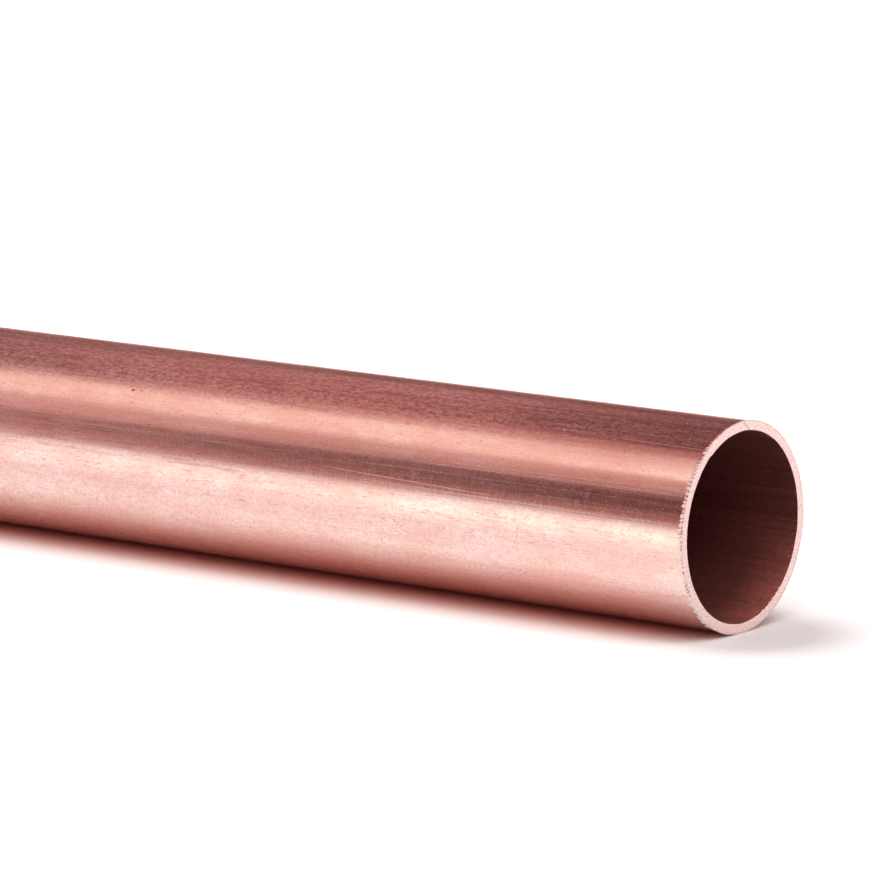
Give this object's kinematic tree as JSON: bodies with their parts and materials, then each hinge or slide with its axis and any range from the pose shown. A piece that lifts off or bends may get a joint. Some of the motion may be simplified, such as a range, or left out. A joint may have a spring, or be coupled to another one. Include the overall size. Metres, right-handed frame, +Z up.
{
  "type": "copper refrigeration pipe",
  "caption": "Straight cut length of seamless copper refrigeration tube, open at both ends, with one sawn end that keeps its raised burr.",
  "frame": {"origin": "on the surface the tube lies on, below the middle of its length", "axes": "+X along the tube towards the sawn mouth, +Z up, the tube lies level"},
  "size_m": [0.2, 0.0288, 0.0288],
  "materials": {
    "copper": "drawn copper, lightly tarnished, with fine lines along the tube and a matte sawn face"
  },
  "bodies": {
    "root": {"copper_tube": "copper"}
  },
  "joints": []
}
